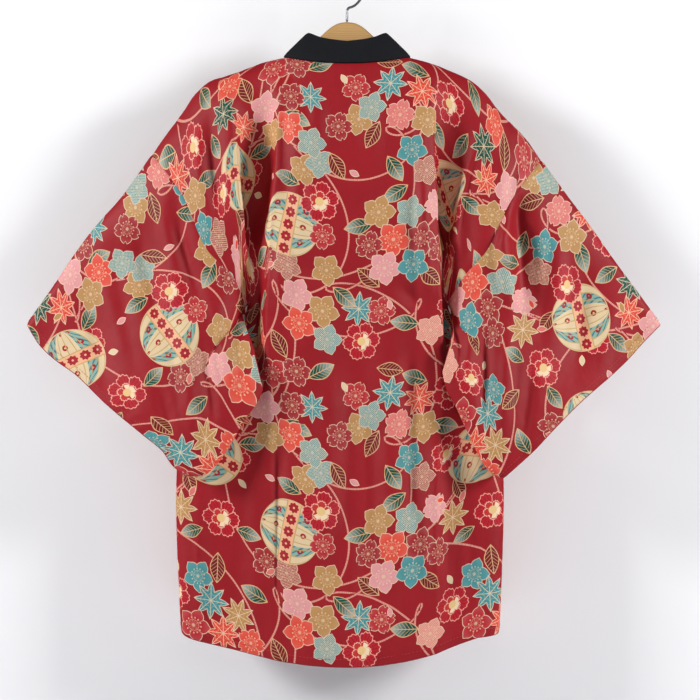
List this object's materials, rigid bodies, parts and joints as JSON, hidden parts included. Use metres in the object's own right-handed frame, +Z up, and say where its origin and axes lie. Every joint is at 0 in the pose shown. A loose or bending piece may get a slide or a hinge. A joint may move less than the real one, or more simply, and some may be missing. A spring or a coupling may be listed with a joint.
{
  "type": "hanten jacket on a hanger",
  "caption": "Short padded jacket with wide open sleeves and a straight collar band, hanging open on a wooden hanger with a wire hook.",
  "frame": {"origin": "top of the hook's inside, where the hanger hangs on its rail", "axes": "+Z up, -Y out of the jacket's back, +Y the way the wearer would face, -X the wearer's left"},
  "size_m": [0.8822, 0.109, 0.9545],
  "materials": {
    "printed_cotton": "printed plain-weave cotton, lightly padded",
    "collar_cloth": "dark matt cotton",
    "hanger_wood": "clear satin lacquer",
    "hook_wire": "zinc-plated wire"
  },
  "bodies": {
    "root": {"back": "printed_cotton", "front_left": "printed_cotton", "front_right": "printed_cotton", "sleeve_left": "printed_cotton", "sleeve_right": "printed_cotton", "collar": "collar_cloth", "hanger_wood": "hanger_wood", "hanger_hook": "hook_wire"}
  },
  "joints": []
}
